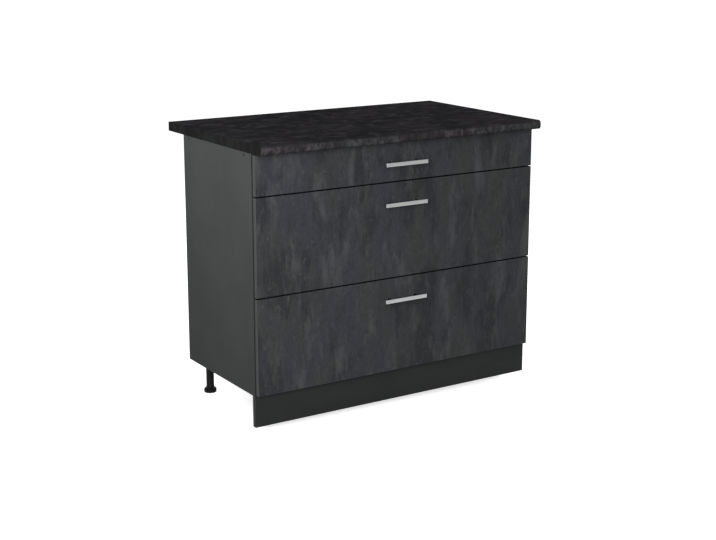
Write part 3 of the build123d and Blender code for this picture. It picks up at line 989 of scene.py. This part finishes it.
def make_foot(node):
    """Scalloped foot with soft edges on a threaded stem."""
    low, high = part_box(node)
    centre = middle(low, high)
    place = facing((centre.x, centre.y, 0))
    radius = (high.x - low.x) / 2
    side = [(radius - inset * MM, height * MM) for inset, height in foot_curve]
    shape = bmesh.new()
    add_turned(shape, place, side, outline=scalloped(radius))
    root = stem_radius - thread_depth
    foot_height = side[-1][1]
    stem = [(root, foot_height - stem_sink)]
    height = foot_height + thread_pitch / 2
    while height < high.z - thread_pitch:
        stem += [(stem_radius, height), (root, height + thread_pitch / 2)]
        height += thread_pitch
    stem.append((root - thread_depth, high.z))
    add_turned(shape, place, stem)
    redo(node, f"{node}_moulding", shape)


def add_tube(shape, at, radius, low, high):
    """Tube with a lip round its lower end."""
    bore = tube_bore * radius
    lip = radius + tube_lip
    profile = [
        (bore, low),
        (lip - 0.8 * lip_edge, low),
        (lip, low + lip_edge),
        (lip, low + lip_height),
        (radius, low + lip_height + lip_slope),
        (radius, high),
        (bore, high),
    ]
    add_turned(shape, at, profile, closed=True)


def add_socket(shape, under, radius):
    """Plate with its corners cut off, and a flared collar that hangs from it round the tube."""
    half, cut = plate_half, plate_half - plate_corner
    plate = [(half, -cut), (half, cut), (cut, half), (-cut, half)]
    plate += [(-x, -y) for x, y in plate]
    add_prism(shape, facing(under), plate, plate_thickness, plate_edge)
    bore = radius + collar_room
    collar = [
        (bore, 0),
        (collar_radius + collar_flare, 0),
        (collar_radius, -collar_flare),
        (collar_radius, collar_edge - collar_height),
        (collar_radius - collar_edge, -collar_height),
        (bore, -collar_height),
    ]
    add_turned(shape, facing(under), collar, closed=True)


def add_rib(shape, turn):
    """Rib between collar and plate, along the X axis of turn."""
    root = collar_radius - rib_sink
    tip = plate_half - rib_inset
    rib = [(root, 0), (tip, 0), (tip, -rib_tip_height), (root, -rib_height)]
    # The outline's own X runs outwards, its Y upwards, and it is raised across the rib
    upright = Matrix(((1, 0, 0, 0), (0, 0, 1, -rib_thickness / 2), (0, 1, 0, 0), (0, 0, 0, 1)))
    add_prism(shape, turn @ upright, rib, rib_thickness, rib_edge)


def make_legs():
    """Sockets with a collar, ribs and screws under the carcass, and tubes with a lip below."""
    sockets = bmesh.new()
    tubes = bmesh.new()
    fasteners = bmesh.new()
    for low, high in solids("leg_tubes"):
        centre = middle(low, high)
        radius = (high.x - low.x) / 2
        add_tube(tubes, facing((centre.x, centre.y, 0)), radius, low.z, high.z)
        under = Vector((centre.x, centre.y, high.z))
        add_socket(sockets, under, radius)
        for quarter in range(4):
            turn = Matrix.Translation(under) @ Matrix.Rotation(math.pi / 2 * quarter, 4, "Z")
            add_rib(sockets, turn)
            add_screw(
                fasteners,
                facing(turn @ Vector((plate_screw_offset, plate_screw_offset, 0)), (0, 0, -1)),
                screw_head_radius,
                plate_screw_head,
                plate_screw_shank,
                plate_screw_length,
            )
    redo("leg_sockets", "leg_sockets_moulding", sockets)
    redo("leg_tubes", "leg_tubes_moulding", tubes)
    add_piece("leg_socket_screws", fasteners, "carcass", "zinc_steel")


# ---------------------------------------------------------------- the cabinet

finishes = {
    "carcass_board": carcass_board(),
    "plinth_board": melamine(
        "dark_melamine",
        roughness=0.6,
        specular=0.1,
        lumps=(5, 5, 14),
        dark=(39, 40, 40),
        pale=(43, 44, 44),
        grains=800,
        share=0.2,
        pearl=(54, 55, 55),
    ),
    "front_board": slate_board(),
    "worktop_laminate": worktop_laminate(),
    "hardboard": hardboard(),
    "drawer_steel": powder_coat(),
    "drawer_board": melamine(
        "light_melamine",
        roughness=0.5,
        specular=0.4,
        lumps=(5, 5, 5),
        dark=(188, 189, 187),
        pale=(194, 195, 193),
        grains=700,
        share=0.3,
        pearl=(176, 177, 176),
    ),
    "handle_metal": satin_metal(),
    "black_plastic": moulded_plastic("black_plastic", (10, 10, 11), (15, 15, 16), 0.45, 0.10),
    "cap_plastic": moulded_plastic("cap_plastic", (30, 31, 31), (36, 37, 37), 0.5, 0.1),
    "clear_plastic": moulded_plastic("clear_plastic", (176, 178, 178), (196, 198, 198), 0.25),
    "nylon": moulded_plastic("nylon", (206, 205, 198), (218, 217, 210), 0.4),
    "zinc_steel": zinc_plate(),
    "dowel_wood": beech(),
}
for name, node in nodes.items():
    node.data.materials.clear()
    node.data.materials.append(finishes[slot_of[name]])

make_worktop()
for node in ("side_panel_left", "side_panel_right", "plinth"):
    rounded_board(node, board_edge)
for node in ("bottom_panel", "front_rail"):
    rounded_board(node, board_edge, front_only=True)
make_caps()
make_bumpers()
make_legs()
make_screws("worktop_screws", Z, -1)
make_screws("runner_screws", X, 1, runner_screw_head, mirrored=True)
make_axle_heads()
for name in drawers:
    rounded_board(f"{name}_drawer_front", front_edge)
    rounded_board(f"{name}_drawer_bottom", board_edge)
    rounded_board(f"{name}_drawer_back", board_edge)
    make_handle(f"{name}_drawer_handle")
    make_screws(f"{name}_drawer_screws", Y, 1)
    make_rollers(f"runner_rollers_{name}")
    make_rollers(f"drawer_rollers_{name}")
for name in high_drawers:
    make_gallery(f"{name}_gallery_rails")
for corner in legs:
    make_foot(f"foot_{corner}")

make_camera()
make_world()
for name, lamp in lamps.items():
    make_lamp(name, **lamp)
make_floor()
